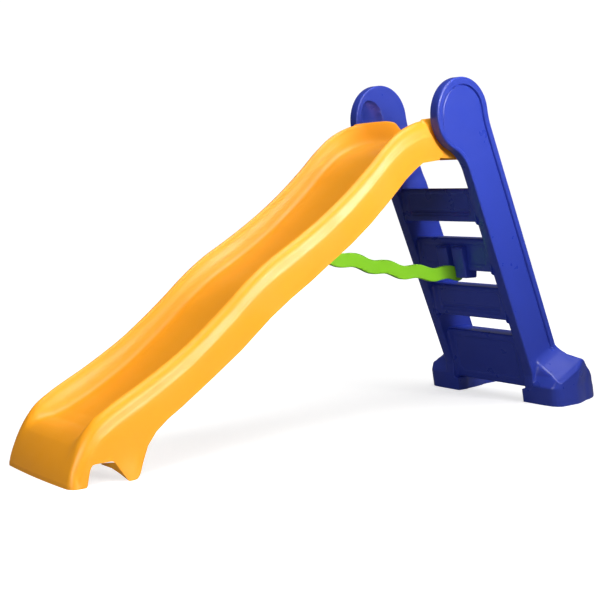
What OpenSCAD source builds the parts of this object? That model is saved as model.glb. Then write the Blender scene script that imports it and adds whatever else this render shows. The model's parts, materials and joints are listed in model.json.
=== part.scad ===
// Folding toddler slide: a moulded chute hinged on a four-step ladder, held open by a wavy brace.
// Millimetres, +Z up, origin on the floor under the middle of the slide, the chute runs down towards -X.

/* [Overall] */
// length over the chute's exit and the ladder's feet
total_len = 2300; // [2280:5:2320]
// width over the ladder's feet
foot_span = 660; // [640:5:670]
// radius of the round ears at the top of the ladder
ear_r = 129; // [120:1:132]

/* [Chute] */
// width over the chute's side walls
chute_w = 406; // [400:1:410]
// depth of the sliding bed below the rim
bed_drop = 80; // [70:1:88]
// wall of the moulded shells
wall = 4; // [3:0.5:4.5]

/* [Ladder] */
// angle of the ladder from vertical
lean = 25.1; // [24.8:0.1:25.4]
// width over the two side rails
ladder_w = 449; // [445:1:455]
// depth of a side rail from its front to its back
rail_d = 167; // [160:1:172]
// height of the top tread
top_tread_z = 816; // [812:1:820]
// height from one tread to the next
tread_pitch = 185.6; // [184:0.2:187]

/* [Brace] */
// height of the wavy brace board
brace_h = 50; // [44:1:52]
// thickness of the brace board
brace_t = 20; // [16:1:22]
// height of each wave above and below the brace's middle line
wave_h = 5.5; // [3:0.5:8]

/* [Hidden] */
// one node's name draws that node alone
$fn = 96;
YELLOW = [1.0, 0.72, 0.14];
BLUE = [0.18, 0.22, 0.68];
GREEN = [0.55, 0.84, 0.12];
STEEL = [0.74, 0.75, 0.77];
NYLON = [0.92, 0.92, 0.89];

half_len = total_len / 2;
half_w = chute_w / 2;
rail_y = ladder_w / 2;
rail_t = 43;
rail_in = rail_y - rail_t;
ear_t = 38.5;
ear_in = rail_y - ear_t;
// where the plane of the ladder's front meets the floor, and where its feet begin
front_x = half_len - 317.6;
foot_x = half_len - 352;

// ---- places in the ladder's own frame: u is depth behind its front plane, v is height along it ----
ear_u = 50;
ear_v = 1159.3;
function along(u, v) = [front_x + u * cos(lean) - v * sin(lean), u * sin(lean) + v * cos(lean)];
ear = along(ear_u, ear_v);
// the fold turns about this point, below the middle of the ears
hinge = [ear[0], ear[1] - 63];
pin_r = 6;
bush_r = 9;
run = 0.05;

// brace pin on the ladder, and the catch pin under the chute
brace_low = along(4, 545);
brace_top = [hinge[0] - 590, 608];
brace_pin_r = 5;
brace_pin_half = 31;
clip_y = 27;
brace_len = norm(brace_low - brace_top);
brace_tilt = atan2(brace_top[1] - brace_low[1], brace_low[0] - brace_top[0]);
slot_w = brace_t + 4;
hook_angle = 60;

// ---------------------------------------------------------------- chute
// the rim's height along the chute, as [distance from the exit, height]
RIM = [
    [0, 12], [7, 38], [19, 67], [32, 96], [47, 124], [67, 152], [93, 180], [131, 206], [177, 232],
    [251, 270], [322, 310], [395, 355], [469, 409], [546, 470], [624, 536], [704, 594], [786, 641],
    [870, 691], [957, 748], [1045, 814], [1136, 892], [1200, 952], [1277, 1009], [1374, 1047],
    [1474, 1064], [1577, 1066], [1621, 1032], [1672, 994]
];
// depth of the bed below the rim, as a share of bed_drop
BED = [
    [0, 0], [19, 0], [32, 0.08], [47, 0.18], [67, 0.35], [93, 0.58], [131, 0.84], [177, 0.96],
    [251, 1], [1577, 1], [1621, 0.58], [1672, 0.1]
];
// the lower edge of the side wall: front foot, notch, second foot, then the long rise
HEM = [
    [0, 0], [52, 0], [57, 20], [64, 52], [72, 61], [144, 62], [183, 0], [206, 0], [222, 8], [233, 36],
    [254, 90], [282, 126], [323, 158], [370, 186], [476, 256], [587, 332], [702, 423], [782, 477],
    [863, 526], [947, 582], [1033, 637], [1121, 703], [1210, 781], [1283, 849], [1326, 881],
    [1374, 910], [1408, 924], [1447, 936]
];
deck_hem = 920;
shoulder_r = 152;
tongue_w = 183;
// distances from the exit at which the chute's section is taken
STATIONS = [
    0, 4, 12, 26, 40, 52, 57, 64, 72, 100, 144, 183, 206, 222, 233, 254, 282, 323, 370, 420, 476,
    530, 587, 645, 702, 742, 782, 822, 863, 905, 947, 990, 1033, 1077, 1121, 1166, 1210, 1246, 1283,
    1326, 1360
];
TONGUE = [1440, 1500, 1540, 1577, 1600, 1621, 1645, 1672];

function seg(t, x, i = 0) = (i >= len(t) - 2 || x <= t[i + 1][0]) ? i : seg(t, x, i + 1);
function slope(t, i) =
    let (a = max(i - 1, 0), b = min(i + 1, len(t) - 1))
    (t[b][1] - t[a][1]) / (t[b][0] - t[a][0]);
function straight(t, x) =
    let (i = seg(t, x), f = (x - t[i][0]) / (t[i + 1][0] - t[i][0]))
    t[i][1] + f * (t[i + 1][1] - t[i][1]);
function smooth(t, x) =
    let (i = seg(t, x), w = t[i + 1][0] - t[i][0], f = (x - t[i][0]) / w)
    let (h = f * f * (3 - 2 * f))
    t[i][1] * (1 - h) + t[i + 1][1] * h
        + w * f * (1 - f) * ((1 - f) * slope(t, i) - f * slope(t, i + 1));
function rim_z(u) = smooth(RIM, u);
function bed_z(u) = rim_z(u) - bed_drop * straight(BED, u);

// the plan of the exit: a shallow bow with rounded corners
corner_r = 26;
function bow(y) =
    let (over = max(abs(y) - (half_w - corner_r), 0))
    5 * pow(y / 160, 2) + corner_r - sqrt(max(corner_r * corner_r - over * over, 0));
function fade(u) = pow(max(1 - u / 110, 0), 2);

// half of the outer section, from the hem over the rim to the bed's middle, as [y, z]
function outer_half(u, w, hem) =
    let (z = rim_z(u), d = rim_z(u) - bed_z(u), q = (w - 157) / 46)
    let (side = min(65, z - hem - 2), k = w > tongue_w ? 1 : 0)
    [
        [w, hem], [w, z - side], [w - 4 * k, z - side * 0.88], [w - 8 * k, z - min(side * 0.45, 28)],
        [w - 18 * q, z - 9 * min(1, d / 20 + 0.3)], [w - 32 * q, z - 1],
        [157 + 8 * q, z - d * 0.05 - 1], [156, z - d * 0.26], [147, z - d * 0.6],
        [133, z - d * 0.92], [112, z - d], [0, z - d]
    ];
// the same half, moved in by the wall
function inner_half(u, w, hem) =
    let (z = rim_z(u), d = rim_z(u) - bed_z(u), q = (w - 157) / 46, t = wall)
    let (side = min(65, z - hem - 2), k = w > tongue_w ? 1 : 0)
    let (top = z - 1.3 * t, low = max(z - d - 1.2 * t, 3))
    [
        [w - t, hem], [w - t, max(z - side, hem + 0.6)],
        [w - t - 4 * k, max(z - side * 0.88, hem + 0.8)],
        [w - t - 7 * k, max(z - min(side * 0.45, 28) - 2, hem + 1)],
        [w - t - 16 * q, max(top - 9, hem + 1.5)], [w - 32 * q, max(top - 1, hem + 2)],
        [157 + 8 * q, max(top - d * 0.07, hem + 2)],
        [156 + t * 0.6, max(z - d * 0.26 - t, hem + 2)], [147 + t * 0.5, max(z - d * 0.6 - t, hem + 2)],
        [133, max(z - d * 0.92 - 1.2 * t, hem + 2)], [112, max(low, hem + 2)],
        [0, max(low, hem + 2)]
    ];
function mirrored(h) = [
    for (i = [0 : len(h) - 1]) h[i],
    for (i = [len(h) - 2 : -1 : 0]) [-h[i][0], h[i][1]]
];
function turned(h) = [for (i = [len(h) - 1 : -1 : 0]) h[i]];
function ring(u, w, hem) =
    let (o = mirrored(outer_half(u, w, hem)), n = mirrored(inner_half(u, w, hem)))
    concat(o, turned(n));
// the arc that the side wall ends on, so that the ears can turn past it
function arc_x(z) = hinge[0] - sqrt(pow(shoulder_r, 2) - pow(min(max(z, 938), 1069) - ear[1], 2));
function place(u, p) = [-half_len + u + bow(p[0]) * fade(u), p[0], p[1]];
function shoulder_point(p, back) =
    let (k = min(max((abs(p[0]) - 150) / 20, 0), 1), x0 = -half_len + (back ? 1404 : 1385))
    [x0 * (1 - k) + (arc_x(p[1]) + (back ? 1 : 0)) * k, p[0], p[1]];

function chute_rings() = concat(
    [for (u = STATIONS) [for (p = ring(u, half_w, straight(HEM, u))) place(u, p)]],
    [[for (p = ring(1395, half_w, 936)) shoulder_point(p, false)]],
    [[for (p = ring(1405, tongue_w, deck_hem + 4)) shoulder_point(p, true)]],
    [for (u = TONGUE) [for (p = ring(u, tongue_w, deck_hem)) place(u, p)]]
);

module swept_shell(rings) {
    m = len(rings);
    n = len(rings[0]);
    points = [for (r = rings) for (p = r) p];
    skin = [
        for (i = [0 : m - 2]) for (j = [0 : n - 1]) for (h = [0, 1])
            let (a = i * n + j, b = i * n + (j + 1) % n, c = a + n, d = b + n)
            h == 0 ? [a, d, b] : [a, c, d]
    ];
    // the two ends, as strips between the outer and the inner half of the ring
    ends = [
        for (j = [0 : n / 2 - 2]) for (e = [0, (m - 1) * n]) for (h = [0, 1])
            let (a = e + j, b = e + j + 1, c = e + n - 1 - j, d = e + n - 2 - j)
            let (t = h == 0 ? [a, b, d] : [a, d, c])
            e == 0 ? t : turned(t)
    ];
    polyhedron(points, concat(skin, ends), convexity = 10);
}

module bore(at, r, y0, y1) {
    translate([at[0], y1, at[1]])
        rotate([90, 0, 0])
            cylinder(r = r, h = y1 - y0);
}

module slide_chute() {
    color(YELLOW)
        difference() {
            swept_shell(chute_rings());
            bore(hinge, bush_r, tongue_w - 12, tongue_w + 4);
            bore(hinge, bush_r, -tongue_w - 4, -tongue_w + 12);
        }
}

// ---------------------------------------------------------------- hinge
block_r = 17;
block_in = 158;
block_gap = 0.4;
block_plate = [76, 4, 30];
flange_t = 2.4;
flange_w = 6;

// bearing block behind each side of the deck, for the hinge bush
module hinge_block(side) {
    face = tongue_w - wall - block_gap;
    color(YELLOW)
        scale_side(side)
            difference() {
                union() {
                    bore(hinge, block_r, block_in, face);
                    translate([hinge[0], face - block_plate[1] / 2, hinge[1]])
                        cube(block_plate, center = true);
                }
                bore(hinge, bush_r, block_in - 1, face + 1);
            }
}

// flanged bush that the hinge pin turns in; its flange keeps the ear off the deck
module hinge_bush(side) {
    color(NYLON)
        scale_side(side)
            difference() {
                union() {
                    bore(hinge, bush_r, block_in, tongue_w);
                    bore(hinge, bush_r + flange_w, tongue_w, tongue_w + flange_t);
                }
                bore(hinge, pin_r + run, block_in - 1, tongue_w + flange_t + 1);
            }
}

socket_end = rail_y - 12;
module hinge_pin(side) {
    color(STEEL)
        scale_side(side)
            bore(hinge, pin_r, block_in + 2, socket_end);
}

module scale_side(side) {
    if (side > 0) children();
    else mirror([0, 1, 0]) children();
}

// ---------------------------------------------------------------- catch under the chute
catch_cheek = 5;
catch_w = brace_t + 3;
catch_pin_len = catch_w + 2 * catch_cheek + 8;
bed_angle = atan2(bed_z(980) - bed_z(880), 100);
catch_u = brace_top[0] + half_len;
under_bed = bed_z(catch_u) - 1.25 * wall - 2.5;
// plate of the catch, and the screws through it
plate_half = 42;
plate_w = 68;
plate_t = 4;
catch_screw_r = 2.2;
catch_head_r = 4.5;
catch_head_h = 3.4;
catch_hole_x = 32;
catch_hole_y = 26;

// the catch's own frame: its origin is under the bed above the pin, +X up the slope
module on_bed() {
    translate([brace_top[0], 0, under_bed])
        rotate([0, -bed_angle, 0])
            children();
}

module catch_holes(r, z0, z1) {
    for (x = [-catch_hole_x, catch_hole_x])
        for (y = [-catch_hole_y, catch_hole_y])
            translate([x, y, z0])
                cylinder(r = r, h = z1 - z0);
}

module brace_catch() {
    color(YELLOW)
        difference() {
            union() {
                on_bed()
                    translate([-plate_half, -plate_w / 2, -plate_t])
                        cube([2 * plate_half, plate_w, plate_t]);
                for (y = [catch_w / 2, -catch_w / 2 - catch_cheek]) {
                    translate([0, y + catch_cheek, 0])
                        rotate([90, 0, 0])
                            linear_extrude(catch_cheek)
                                catch_side();
                }
            }
            bore(brace_top, brace_pin_r, -60, 60);
            on_bed() catch_holes(catch_screw_r, -10, 10);
        }
}

// a cheek's outline: a tapered lug from the plate down to the pin
module catch_side() {
    up = [cos(bed_angle), sin(bed_angle)];
    root = [brace_top[0], under_bed - 3];
    polygon([
        root + 30 * up, root - 30 * up, brace_top + [-13, 2], brace_top + [-9, -8], brace_top + [0, -13],
        brace_top + [9, -8], brace_top + [13, 2]
    ]);
}

module catch_pin() {
    color(STEEL)
        bore(brace_top, brace_pin_r, -catch_pin_len / 2, catch_pin_len / 2);
}

// pan-head screws that hold the catch's plate to the bed
module catch_screws() {
    color(STEEL)
        on_bed() {
            catch_holes(catch_screw_r, -plate_t - 1, -0.6);
            catch_holes(catch_head_r, -plate_t - catch_head_h, -plate_t);
        }
}

// ---------------------------------------------------------------- ladder
module on_ladder() {
    translate([front_x, 0, 0])
        rotate([0, -lean, 0])
            children();
}

// side outline of a rail in the ladder's frame, moved in by e
module rail_outline(e = 0) {
    front_r = 150;
    back_r = 250;
    front_v = ear_v - sqrt(pow(ear_r + front_r, 2) - pow(ear_u + front_r, 2));
    back_v = ear_v - sqrt(pow(ear_r + back_r, 2) - pow(rail_d - ear_u + back_r, 2));
    // height below the ear's middle at which the rear neck arc meets the ear
    touch = ear_r * (ear_v - back_v) / (ear_r + back_r);
    translate([ear_u, ear_v]) circle(r = ear_r - e);
    translate([e, -60]) square([rail_d - 2 * e, ear_v + 60]);
    difference() {
        polygon([
            [-60, front_v + 100], [e + 1, front_v], [ear_u, ear_v - 40], [ear_u, ear_v], [-60, ear_v]
        ]);
        translate([-front_r, front_v]) circle(r = front_r + e);
        translate([-front_r * 2, ear_v - 39]) square([front_r * 2, 200]);
    }
    difference() {
        polygon([
            [rail_d - e - 1, back_v], [rail_d + 40, back_v + 60], [rail_d + 40, ear_v], [ear_u, ear_v],
            [ear_u, ear_v - 40]
        ]);
        translate([rail_d + back_r, back_v]) circle(r = back_r + e);
        translate([rail_d, ear_v - touch]) square([200, 200]);
    }
}

foot_in = rail_in - 17;
sole_h = 55;
toe_lean = 14;
toe_z = 68;
// the foot's side outline on the floor: leaning toe, long rounded heel
module foot_outline(e = 0) {
    x = half_len;
    polygon([
        [foot_x + e, e], [x - e * 1.1, e], [x - 8 - e, 20], [x - 24 - e, 40], [x - 46 - e, 60],
        [x - 80 - e * 0.8, 95 - e * 0.6], [x - 118 - e * 0.6, 128 - e * 0.8], [x - 148, 147 - e],
        [x - 172, 160 - e], [x - 196, 170 - e], [x - 219, 184 - e], [x - 240, 240], [foot_x, 240],
        [foot_x - 2 + e, 110], [foot_x - toe_lean + e, toe_z]
    ]);
}

// the foot's plan: rounded toe, both sides drawn together towards the heel
module foot_plan(e = 0) {
    x = foot_x - toe_lean;
    y = foot_span / 2;
    polygon([
        [x + e, foot_in + 6 + e], [x + 6 + e, foot_in + e], [x + 60, foot_in + e],
        [x + 130, foot_in + 13 + e], [x + 210, foot_in + 34 + e], [half_len - 4, foot_in + 44 + e],
        [half_len, foot_in + 48 + e], [half_len, rail_y + 6 - e], [half_len - 34, y - 72 - e],
        [half_len - 72, y - 49 - e], [half_len - 135, y - 29 - e], [half_len - 177, y - 15 - e],
        [half_len - 232, y - e], [x + 44, y - e], [x + 20, y - 6 - e], [x + 6 + e, y - 22 - e],
        [x + e, y - 38 - e]
    ]);
}

// the foot's flare seen along the ladder: creased shoulders, then an upright side
module flare_outline(e = 0) {
    y = foot_span / 2;
    polygon([
        [foot_in, -180], [foot_in, 300], [rail_y - e, 300], [rail_y - e, 156], [rail_y + 19 - e, 142],
        [rail_y + 37 - e, 130], [rail_y + 63 - e, 116], [y - 14 - e, 101 - e * 0.3],
        [y - e, 84 - e * 0.5], [y - e, -180]
    ]);
}

module foot(e = 0) {
    difference() {
        intersection() {
            translate([0, foot_span, 0])
                rotate([90, 0, 0])
                    linear_extrude(foot_span)
                        foot_outline(e);
            translate([0, 0, -1])
                linear_extrude(300)
                    foot_plan(e);
            on_ladder()
                rotate([90, 0, 90])
                    translate([0, 0, -300])
                        linear_extrude(900)
                            flare_outline(e);
        }
        // above the sole the inner side stays in line with the leg, clear of the bottom step
        translate([foot_x - 60, foot_in - 20, sole_h - e])
            cube([500, rail_in - foot_in + 20 + e, 300]);
    }
}

module leg(e = 0, y0 = rail_in, y1 = rail_y) {
    intersection() {
        on_ladder()
            translate([0, y1, 0])
                rotate([90, 0, 0])
                    linear_extrude(y1 - y0)
                        rail_outline(e);
        translate([-half_len, 0, e])
            cube([total_len * 2, total_len, total_len]);
    }
}

neck_v = 900;
panel_in = 3;
rim_in = 15;
drain_r = 4;
grip = along(-14, ear_v + 40);
grip_r = 58;
grip_off = 46;
module grip_ball(e) {
    translate([grip[0], ear_in - grip_off, grip[1]])
        sphere(r = grip_r + e);
}

module side_rail(side) {
    color(BLUE)
        scale_side(side)
            difference() {
                union() {
                    leg();
                    foot();
                }
                // the ear and neck are thinner than the leg on their inner side
                on_ladder()
                    translate([-200, rail_in - 1, neck_v])
                        cube([600, ear_in - rail_in + 1, 600]);
                rail_cavity();
                // shallow panel inside the outer face's raised border
                leg(rim_in, rail_y - panel_in, rail_y + 1);
                // hand grip scooped out of the ear's inner face
                grip_ball(0);
                bore(hinge, pin_r, ear_in - 1, socket_end);
                step_positions() tread_screw_holes();
                // drain hole under the heel
                translate([foot_x + 150, 250, -1])
                    cylinder(r = drain_r, h = wall + 3);
            }
}

// hollow of a rail, kept clear of the hinge socket
module rail_cavity() {
    difference() {
        union() {
            intersection() {
                leg(wall, rail_in + wall, rail_y - wall - panel_in);
                on_ladder() translate([-100, 0, -100]) cube([400, 400, neck_v + 96]);
            }
            leg(wall + 4, ear_in + wall, rail_y - wall - panel_in);
            foot(wall);
        }
        bore(hinge, pin_r + 10, ear_in - 5, rail_y);
        grip_ball(wall);
    }
}

// ---------------------------------------------------------------- steps
step_gap = 0.2;
step_end = rail_in - step_gap;
tread_d = 128;
face_h = 122;
face_lean = 24;
lip = 24;
screw_r = 2.4;
screw_head_r = 4.6;
screw_head_h = 3;
// places of the screws on a step's end, behind the tread's edge and below its top
screw_x = [62, 96];
screw_drop = 16;

function tread_z(i) = top_tread_z - (i - 1) * tread_pitch;
function tread_x(i) = front_x - tread_z(i) * tan(lean) + 33;

module step_positions() {
    for (i = [1 : 4]) translate([tread_x(i), 0, tread_z(i)]) children();
}

// a step's side outline, its origin at the tread's front edge
module step_outline(h, run_out) {
    polygon([[0, -4], [3, 0], [tread_d, 0], [tread_d, -lip], [run_out + 40, -h], [run_out, -h]]);
}

module step_shell(h, run_out) {
    difference() {
        translate([0, step_end, 0])
            rotate([90, 0, 0])
                linear_extrude(2 * step_end)
                    step_outline(h, run_out);
        // inside of the step, open behind and below
        translate([0, step_end - wall, 0])
            rotate([90, 0, 0])
                linear_extrude(2 * (step_end - wall))
                    polygon([
                        [13, -wall], [tread_d - wall, -wall], [tread_d - wall, -lip - 1],
                        [tread_d + 1, -lip - 1], [run_out + 41, -h + wall], [run_out + 13, -h + wall]
                    ]);
    }
}

module tread_screw_holes() {
    for (x = screw_x) bore([x, -screw_drop], screw_r, rail_in - wall - 2, rail_in + wall + 2);
}

module step_face_panel(h, run_out, band) {
    tilt = atan2(run_out, h);
    high = h - 34;
    rotate([0, -tilt, 0])
        difference() {
            translate([-1, -150, -h + 14])
                cube([7, 300, high]);
            if (band)
                translate([2.5, -140, -h / 2 - 9])
                    cube([6, 280, 11]);
        }
}

module step(i) {
    h = i < 4 ? face_h : tread_z(4) - 58;
    run_out = i < 4 ? face_lean : front_x - 58 * tan(lean) - tread_x(4);
    color(BLUE)
        translate([tread_x(i), 0, tread_z(i)])
            difference() {
                step_shell(h, run_out);
                if (i < 4) step_face_panel(h, run_out, i != 2);
                tread_screw_holes();
                mirror([0, 1, 0]) tread_screw_holes();
                if (i == 2)
                    translate([-60, -bracket_half - 0.3, bracket_low - tread_z(2) - 0.3])
                        cube([60 + bracket_back, 2 * bracket_half + 0.6, bracket_h + 0.6]);
            }
}

// pan-head screws through each step's end plates into the rails
module step_screws() {
    head_y = step_end - wall;
    color(STEEL)
        for (s = [1, -1]) scale_side(s)
            step_positions()
                for (x = screw_x) {
                    bore([x, -screw_drop], screw_r - 0.1, head_y, rail_in + wall + 6);
                    bore([x, -screw_drop], screw_head_r, head_y - screw_head_h, head_y);
                }
}

// ---------------------------------------------------------------- brace bracket
bracket_half = 66;
bracket_low = 480;
bracket_h = 120;
bracket_front = 17;
bracket_back = 73;
module brace_bracket() {
    face_x = front_x - 510 * tan(lean) - bracket_front / cos(lean);
    back_x = tread_x(2) + bracket_back - 1;
    color(BLUE)
        difference() {
            translate([0, bracket_half, 0])
                rotate([90, 0, 0])
                    linear_extrude(2 * bracket_half)
                        polygon([
                            [face_x + 6, bracket_low], [face_x + 4, bracket_low + 20],
                            [face_x - 24, bracket_low + bracket_h - 10],
                            [face_x - 16, bracket_low + bracket_h], [back_x, bracket_low + bracket_h],
                            [back_x, bracket_low]
                        ]);
            // slot for the brace, open at the front, below and above
            translate([face_x - 60, -slot_w / 2, bracket_low - 1])
                cube([back_x - face_x + 60 - wall, slot_w, bracket_h + 2]);
            // hollow behind each boss
            for (s = [1, -1]) scale_side(s)
                translate([face_x + 12, slot_w / 2 + wall + 6, bracket_low + wall])
                    cube([back_x - face_x, bracket_half - slot_w / 2 - 2 * wall - 6, bracket_h - 2 * wall]);
            bore(brace_low, brace_pin_r, -bracket_half - 1, bracket_half + 1);
        }
}

module brace_pin() {
    color(STEEL)
        bore(brace_low, brace_pin_r, -brace_pin_half, brace_pin_half);
}

// push-on retaining clips at the pin's ends
module brace_pin_clips() {
    color(STEEL)
        for (s = [1, -1]) scale_side(s)
            difference() {
                bore(brace_low, brace_pin_r + 4, clip_y, clip_y + 1.5);
                bore(brace_low, brace_pin_r, clip_y - 1, clip_y + 3);
            }
}

// ---------------------------------------------------------------- wavy brace
wave_len = 156.5;
wave_start = 59.5;
sag = 14;
sag_low = 7;
hook_play = 0.6;
// the brace's middle: its waves on a line that sags between the two pins, more at the ladder's end
function middle(s) =
    wave_h * cos(360 * (s - wave_start) / wave_len)
        - sag * sin(180 * s / brace_len) - sag_low * sin(360 * s / brace_len);
WAVE_STEPS = 48;

// the brace's outline, its origin at the ladder's pin and +X towards the chute
module brace_outline() {
    half = brace_h / 2;
    stops = [for (i = [0 : WAVE_STEPS]) brace_len * i / WAVE_STEPS];
    difference() {
        polygon(concat(
            [for (s = stops) [s, middle(s) + half]],
            [for (a = [75 : -15 : -75]) [brace_len + half * cos(a), middle(brace_len) + half * sin(a)]],
            [for (s = turned(stops)) [s, middle(s) - half]],
            [for (a = [255 : -15 : 105]) [half * cos(a), middle(0) + half * sin(a)]]
        ));
        circle(r = brace_pin_r + run);
        // hook: a slanted notch that drops away from the catch pin
        translate([brace_len, 0]) {
            circle(r = brace_pin_r + hook_play);
            rotate(180 - hook_angle)
                translate([0, -brace_pin_r - hook_play])
                    square([half * 2, 2 * (brace_pin_r + hook_play)]);
        }
    }
}

module support_brace() {
    color(GREEN)
        translate([brace_low[0], 0, brace_low[1]])
            rotate([0, 0, 180])
                rotate([0, -brace_tilt, 0])
                    translate([0, brace_t / 2, 0])
                        rotate([90, 0, 0])
                            linear_extrude(brace_t)
                                brace_outline();
}

slide_chute();
hinge_block(1);  // hinge_block_left
hinge_block(-1);  // hinge_block_right
hinge_bush(1);  // hinge_bush_left
hinge_bush(-1);  // hinge_bush_right
brace_catch();
catch_pin();
catch_screws();
side_rail(1);  // side_rail_left
side_rail(-1);  // side_rail_right
hinge_pin(1);  // hinge_pin_left
hinge_pin(-1);  // hinge_pin_right
step(1);  // step_1
step(2);  // step_2
step(3);  // step_3
step(4);  // step_4
step_screws();
brace_bracket();
brace_pin();
brace_pin_clips();
support_brace();
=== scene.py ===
import json
import math

import bmesh
import bpy
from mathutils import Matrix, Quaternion, Vector


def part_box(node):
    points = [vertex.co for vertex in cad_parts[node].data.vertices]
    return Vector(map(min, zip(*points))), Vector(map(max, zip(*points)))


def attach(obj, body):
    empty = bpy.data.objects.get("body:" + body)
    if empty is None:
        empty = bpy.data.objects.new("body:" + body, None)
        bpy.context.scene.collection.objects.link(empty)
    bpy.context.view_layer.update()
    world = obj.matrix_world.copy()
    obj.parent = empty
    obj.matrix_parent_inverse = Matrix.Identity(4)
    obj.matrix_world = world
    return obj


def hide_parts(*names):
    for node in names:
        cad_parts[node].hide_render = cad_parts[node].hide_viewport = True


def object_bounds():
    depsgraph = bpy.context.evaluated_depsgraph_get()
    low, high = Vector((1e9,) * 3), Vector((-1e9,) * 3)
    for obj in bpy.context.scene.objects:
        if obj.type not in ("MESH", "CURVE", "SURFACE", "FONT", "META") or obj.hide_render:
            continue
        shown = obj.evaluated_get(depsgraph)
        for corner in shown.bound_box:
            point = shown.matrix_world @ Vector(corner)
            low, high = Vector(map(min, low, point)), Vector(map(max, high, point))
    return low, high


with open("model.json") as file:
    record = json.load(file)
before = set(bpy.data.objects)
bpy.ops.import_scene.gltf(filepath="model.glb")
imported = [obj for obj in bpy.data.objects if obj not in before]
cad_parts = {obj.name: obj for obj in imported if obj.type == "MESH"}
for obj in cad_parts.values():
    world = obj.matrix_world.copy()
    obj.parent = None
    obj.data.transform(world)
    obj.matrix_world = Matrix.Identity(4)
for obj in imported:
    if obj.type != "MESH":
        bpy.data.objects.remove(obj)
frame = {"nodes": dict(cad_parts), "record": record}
cad_low, cad_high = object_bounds()

# ---------------------------------------------------------------- sizes, in millimetres
MM = 0.001
JOINTS = {j["name"]: j for j in frame["record"]["behaviour"]["joints"]}
HINGE = [JOINTS["ladder_fold"]["pos_m"][i] / MM for i in (0, 2)]
BRACE_PIN = [JOINTS["brace_swing"]["pos_m"][i] / MM for i in (0, 2)]
HALF_LEN = (cad_high.x - cad_low.x) / 2 / MM
HALF_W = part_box("slide_chute")[1].y / MM
CATCH_LOW, CATCH_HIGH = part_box("catch_pin")
CATCH = [(CATCH_LOW.x + CATCH_HIGH.x) / 2 / MM, (CATCH_LOW.z + CATCH_HIGH.z) / 2 / MM]
WALL = 4.0
# the ladder: its slant, its front plane and feet on the floor, and its rails from the middle outwards
LEAN = math.radians(25.1)
FRONT_X = HALF_LEN - 317.6
FOOT_X = HALF_LEN - 352
RAIL_Y = 224.5
RAIL_IN = 181.5
RAIL_D = 167.0
# the ears' inner face, radius and middle, which is above the hinge
EAR_IN = 186.0
EAR_R = 129.0
EAR_U, EAR_V = 50.0, 1159.3
EAR_RISE = 63


# ---------------------------------------------------------------- small tools
def table(points, x):
    """A smooth curve through a table's points."""
    if x <= points[0][0]:
        return points[0][1]
    if x >= points[-1][0]:
        return points[-1][1]
    i = max(k for k in range(len(points) - 1) if points[k][0] <= x)

    def slope(k):
        a, b = max(k - 1, 0), min(k + 1, len(points) - 1)
        return (points[b][1] - points[a][1]) / (points[b][0] - points[a][0])

    w = points[i + 1][0] - points[i][0]
    f = (x - points[i][0]) / w
    h = f * f * (3 - 2 * f)
    bend = w * f * (1 - f) * ((1 - f) * slope(i) - f * slope(i + 1))
    return points[i][1] * (1 - h) + points[i + 1][1] * h + bend


def straight(points, x):
    """Straight lines through a table's points."""
    for (x0, y0), (x1, y1) in zip(points, points[1:]):
        if x <= x1:
            return y0 + (y1 - y0) * max(x - x0, 0) / (x1 - x0)
    return points[-1][1]


def ease(x):
    """A smooth rise from 0 to 1 as x goes from 0 to 1."""
    x = min(max(x, 0.0), 1.0)
    return x * x * (3 - 2 * x)


def rounding(d, r):
    """How far a rounded edge of radius r has dropped at a distance d from the edge."""
    return 0.0 if d >= r else r - math.sqrt(max(r * r - (r - d) ** 2, 0.0))


def spread(a, b, n):
    """n equal steps from a to b, both ends included."""
    return [a + (b - a) * i / n for i in range(n + 1)]


def along(u, v):
    """A point in the ladder's own frame, u behind its front plane and v up along it."""
    return (
        FRONT_X + u * math.cos(LEAN) - v * math.sin(LEAN),
        u * math.sin(LEAN) + v * math.cos(LEAN),
    )


def ladder_u(x, z):
    """How far a place is behind the ladder's front plane."""
    return (x - FRONT_X) * math.cos(LEAN) + z * math.sin(LEAN)


def ladder_v(x, z):
    """How far up along the ladder a place is."""
    return -(x - FRONT_X) * math.sin(LEAN) + z * math.cos(LEAN)


def new_piece(name, verts, faces, material, sharp=35.0, up=None):
    """A mesh piece from millimetres. up is a point whose nearest face has to look up, for an open surface."""
    bm = bmesh.new()
    made = [bm.verts.new((x * MM, y * MM, z * MM)) for x, y, z in verts]
    for f in faces:
        if len(set(f)) > 2:
            bm.faces.new([made[i] for i in f])
    bmesh.ops.remove_doubles(bm, verts=bm.verts[:], dist=0.03 * MM)
    bmesh.ops.dissolve_degenerate(bm, dist=0.02 * MM, edges=bm.edges[:])
    bmesh.ops.recalc_face_normals(bm, faces=bm.faces[:])
    if up is not None:
        near = min(bm.faces, key=lambda f: (f.calc_center_median() - Vector(up) * MM).length)
        if near.normal.z < 0:
            bmesh.ops.reverse_faces(bm, faces=bm.faces[:])
    mesh = bpy.data.meshes.new(name)
    bm.to_mesh(mesh)
    bm.free()
    mesh.polygons.foreach_set("use_smooth", [True] * len(mesh.polygons))
    mesh.set_sharp_from_angle(angle=math.radians(sharp))
    obj = bpy.data.objects.new(name, mesh)
    bpy.context.scene.collection.objects.link(obj)
    mesh.materials.append(material)
    return obj


def grid_faces(rows, cols):
    """The four-sided faces between rows of points."""
    return [
        (i * cols + j, i * cols + j + 1, (i + 1) * cols + j + 1, (i + 1) * cols + j)
        for i in range(rows - 1)
        for j in range(cols - 1)
    ]


def settle(obj, sharp=35.0):
    """Applies the modifiers of a piece and shades it again."""
    dg = bpy.context.evaluated_depsgraph_get()
    mesh = bpy.data.meshes.new_from_object(obj.evaluated_get(dg))
    obj.modifiers.clear()
    obj.data = mesh
    mesh.polygons.foreach_set("use_smooth", [True] * len(mesh.polygons))
    mesh.set_sharp_from_angle(angle=math.radians(sharp))
    return obj


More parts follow.
